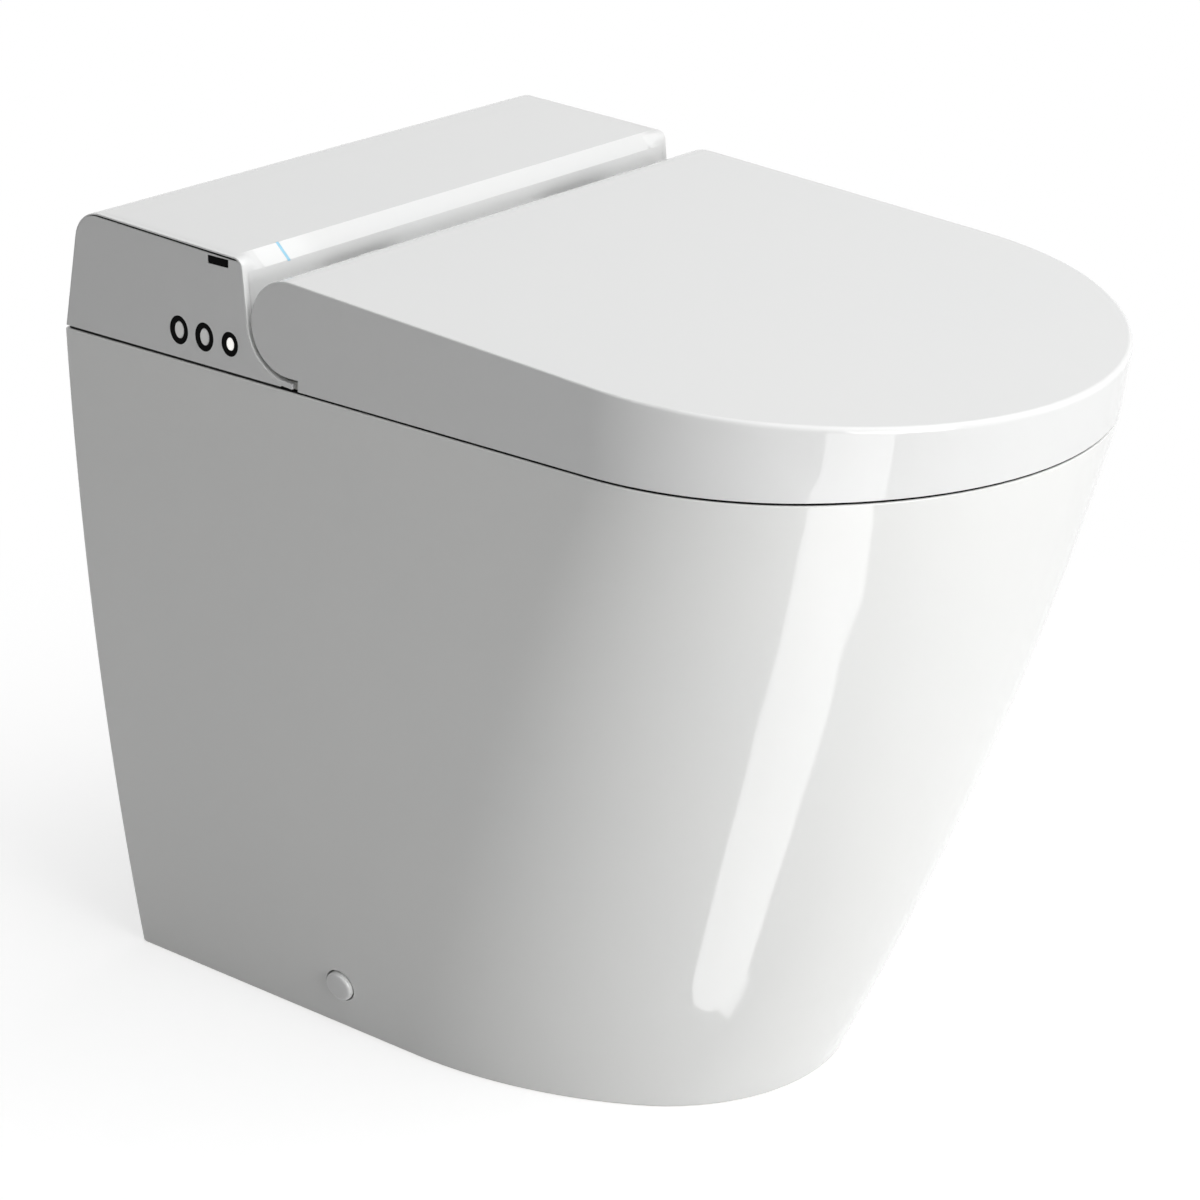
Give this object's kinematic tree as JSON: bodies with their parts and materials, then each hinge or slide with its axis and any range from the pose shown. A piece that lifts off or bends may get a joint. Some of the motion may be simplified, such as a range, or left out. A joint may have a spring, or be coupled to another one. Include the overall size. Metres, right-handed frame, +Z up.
{
  "type": "bidet toilet",
  "caption": "Compact back-to-wall bidet toilet: skirted china pan, heated seat, soft-close lid and a rear unit with push buttons, sliding wash wand and warm-air dryer.",
  "frame": {"origin": "bottom centre of the whole object, on the floor", "axes": "+Z up, front towards -Y, back to the wall at +Y, button panel on the -X side"},
  "size_m": [0.385, 0.5359, 0.477],
  "materials": {
    "glazed_china": "gloss glaze",
    "white_shell": "gloss moulded",
    "seat_plastic": "gloss moulded",
    "button_cap": "satin moulded",
    "lit_cap": "satin moulded",
    "black_trim": "gloss moulded",
    "light_guide": "frosted clear",
    "soft_rubber": "matt",
    "dark_rubber": "matt",
    "grey_moulding": "moulded",
    "works_plastic": "moulded",
    "dark_works": "moulded",
    "steel": "turned",
    "brass_fitting": "turned",
    "circuit_board": "solder resist",
    "heater_foil": "foil"
  },
  "bodies": {
    "pan": {"pan_skirt": "glazed_china", "pan_bowl": "glazed_china", "pan_trapway": "glazed_china", "deck_gasket": "dark_rubber", "base_plate": "white_shell", "plate_inserts": "grey_moulding", "plate_screws": "steel", "top_cover": "white_shell", "end_panel_left": "white_shell", "end_panel_right": "white_shell", "status_light": "light_guide", "receiver_window": "black_trim", "button_rings": "black_trim", "button_board": "circuit_board", "soft_close_damper_right": "grey_moulding", "soft_close_damper_left": "grey_moulding", "hinge_pins": "steel", "wand_cradle": "works_plastic", "wand_motor": "steel", "air_duct": "works_plastic", "flap_pin": "steel", "blower_casing": "works_plastic", "blower_motor": "steel", "water_heater": "works_plastic", "inlet_valve": "brass_fitting", "inlet_nut": "brass_fitting", "flush_pump": "dark_works", "flush_spreader": "works_plastic", "flush_hose": "dark_rubber", "cable_gland": "dark_works", "control_board": "circuit_board", "power_supply": "dark_works", "floor_brackets": "grey_moulding", "side_screws": "steel", "side_caps": "white_shell"},
    "seat": {"seat_top": "seat_plastic", "seat_bottom": "seat_plastic", "seat_heater": "heater_foil", "seat_buffers": "soft_rubber", "seat_hinge_bushes": "grey_moulding"},
    "lid": {"lid": "white_shell", "lid_buffers": "soft_rubber"},
    "flush_button": {"flush_button": "button_cap"},
    "wash_button": {"wash_button": "button_cap"},
    "stop_button": {"stop_button": "lit_cap"},
    "wand": {"wash_wand": "works_plastic", "spray_head": "works_plastic", "wand_rack": "grey_moulding"},
    "pinion": {"drive_pinion": "grey_moulding"},
    "impeller": {"blower_impeller": "dark_works"},
    "flap": {"dryer_flap": "works_plastic"}
  },
  "joints": [
    {"name": "seat_hinge", "type": "hinge", "parent": "pan", "child": "seat", "pos_m": [0, 0.102, 0.4405], "axis": [1, 0, 0], "range_deg": [-96, 0]},
    {"name": "lid_hinge", "type": "hinge", "parent": "seat", "child": "lid", "pos_m": [0, 0.102, 0.4405], "axis": [-1, 0, 0], "range_deg": [0, 100]},
    {"name": "flush_button_press", "type": "slide", "parent": "pan", "child": "flush_button", "axis": [1, 0, 0], "range_m": [0, 0.0015], "stiffness_N_per_m": 400},
    {"name": "wash_button_press", "type": "slide", "parent": "pan", "child": "wash_button", "axis": [1, 0, 0], "range_m": [0, 0.0015], "stiffness_N_per_m": 400},
    {"name": "stop_button_press", "type": "slide", "parent": "pan", "child": "stop_button", "axis": [1, 0, 0], "range_m": [0, 0.0015], "stiffness_N_per_m": 400},
    {"name": "wand_slide", "type": "slide", "parent": "pan", "child": "wand", "axis": [0, -0.9397, -0.342], "range_m": [0, 0.09]},
    {"name": "pinion_spin", "type": "hinge", "parent": "pan", "child": "pinion", "pos_m": [0, 0.13714, 0.40659], "axis": [-1, 0, 0], "range_deg": [0, 790]},
    {"name": "blower_spin", "type": "hinge", "parent": "pan", "child": "impeller", "pos_m": [0.085, 0.202, 0.43], "axis": [0, 0, 1], "continuous": true},
    {"name": "flap_hinge", "type": "hinge", "parent": "pan", "child": "flap", "pos_m": [0.085, 0.06801, 0.37613], "axis": [-1, 0, 0], "range_deg": [0, 60]}
  ],
  "couplings": [
    {"joint": "pinion_spin", "follows": "wand_slide", "rad_per_m": 142.86}
  ]
}
